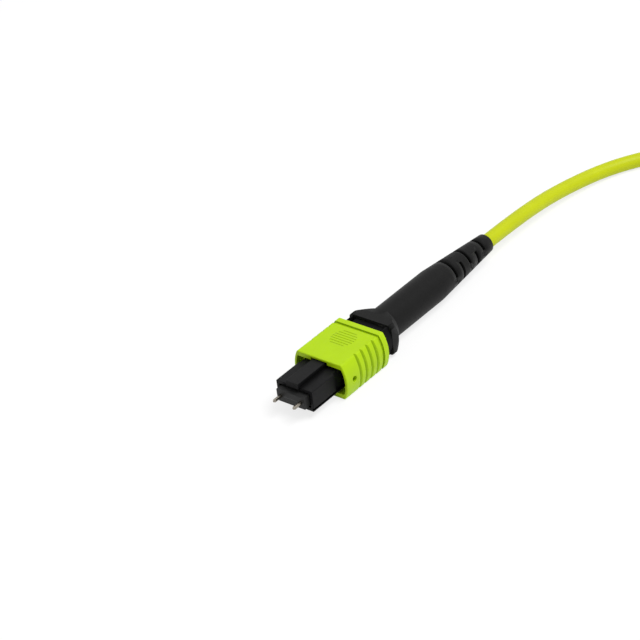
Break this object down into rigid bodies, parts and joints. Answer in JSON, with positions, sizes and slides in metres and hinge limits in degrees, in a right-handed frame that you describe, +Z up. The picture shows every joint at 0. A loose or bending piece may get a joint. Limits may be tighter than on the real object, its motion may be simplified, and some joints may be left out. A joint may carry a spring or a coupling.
{
  "type": "mpo fibre connector",
  "caption": "Pinned multi-fibre push-on plug with a spring-loaded lime pull sleeve, black keyed housing, slotted strain relief boot and a free round cable.",
  "frame": {"origin": "on the surface the plug lies on, under the middle of the plug's length from pin tips to the boot's end, on its plane of symmetry", "axes": "+Y along the plug from its ferrule towards the cable, +Z up towards the key, +X across the width"},
  "size_m": [0.0316, 0.208, 0.0108],
  "materials": {
    "sleeve_lime": "satin",
    "housing_black": "satin",
    "rear_body_black": "satin",
    "ferrule_grey": "polished end, fine satin sides",
    "sock_rubber": "matte",
    "clamp_steel": "satin",
    "pin_steel": "ground",
    "spring_steel": "drawn wire",
    "boot_rubber": "matte",
    "crimp_metal": "satin",
    "yarn": "fibrous",
    "jacket_lime": "satin",
    "strap_black": "woven",
    "fibre_coating": "glossy"
  },
  "bodies": {
    "plug": {"inner_housing": "housing_black", "spring_push": "rear_body_black", "crimp_sleeve": "crimp_metal", "aramid_yarn": "yarn", "strain_relief_boot": "boot_rubber", "cable_jacket_end": "jacket_lime", "ferrule_spring": "spring_steel", "coupling_spring_left": "spring_steel", "coupling_spring_right": "spring_steel", "cable": "jacket_lime", "cable_hank": "jacket_lime", "cable_tie": "strap_black"},
    "coupling": {"coupling_sleeve": "sleeve_lime"},
    "ferrule_group": {"ferrule": "ferrule_grey", "guide_pin_left": "pin_steel", "guide_pin_right": "pin_steel", "pin_clamp": "clamp_steel", "ferrule_boot": "sock_rubber", "fibre_01": "fibre_coating", "fibre_02": "fibre_coating", "fibre_03": "fibre_coating", "fibre_04": "fibre_coating", "fibre_05": "fibre_coating", "fibre_06": "fibre_coating", "fibre_07": "fibre_coating", "fibre_08": "fibre_coating", "fibre_09": "fibre_coating", "fibre_10": "fibre_coating", "fibre_11": "fibre_coating", "fibre_12": "fibre_coating"}
  },
  "joints": [
    {"name": "sleeve_pull", "type": "slide", "parent": "plug", "child": "coupling", "axis": [0, 1, 0], "range_m": [0, 0.0026], "stiffness_N_per_m": 100, "springref_m": -0.008, "deforming": ["coupling_spring_left", "coupling_spring_right"]},
    {"name": "ferrule_give", "type": "slide", "parent": "plug", "child": "ferrule_group", "axis": [0, 1, 0], "range_m": [0, 0.001], "stiffness_N_per_m": 40, "springref_m": -0.01, "deforming": ["ferrule_spring"]}
  ]
}
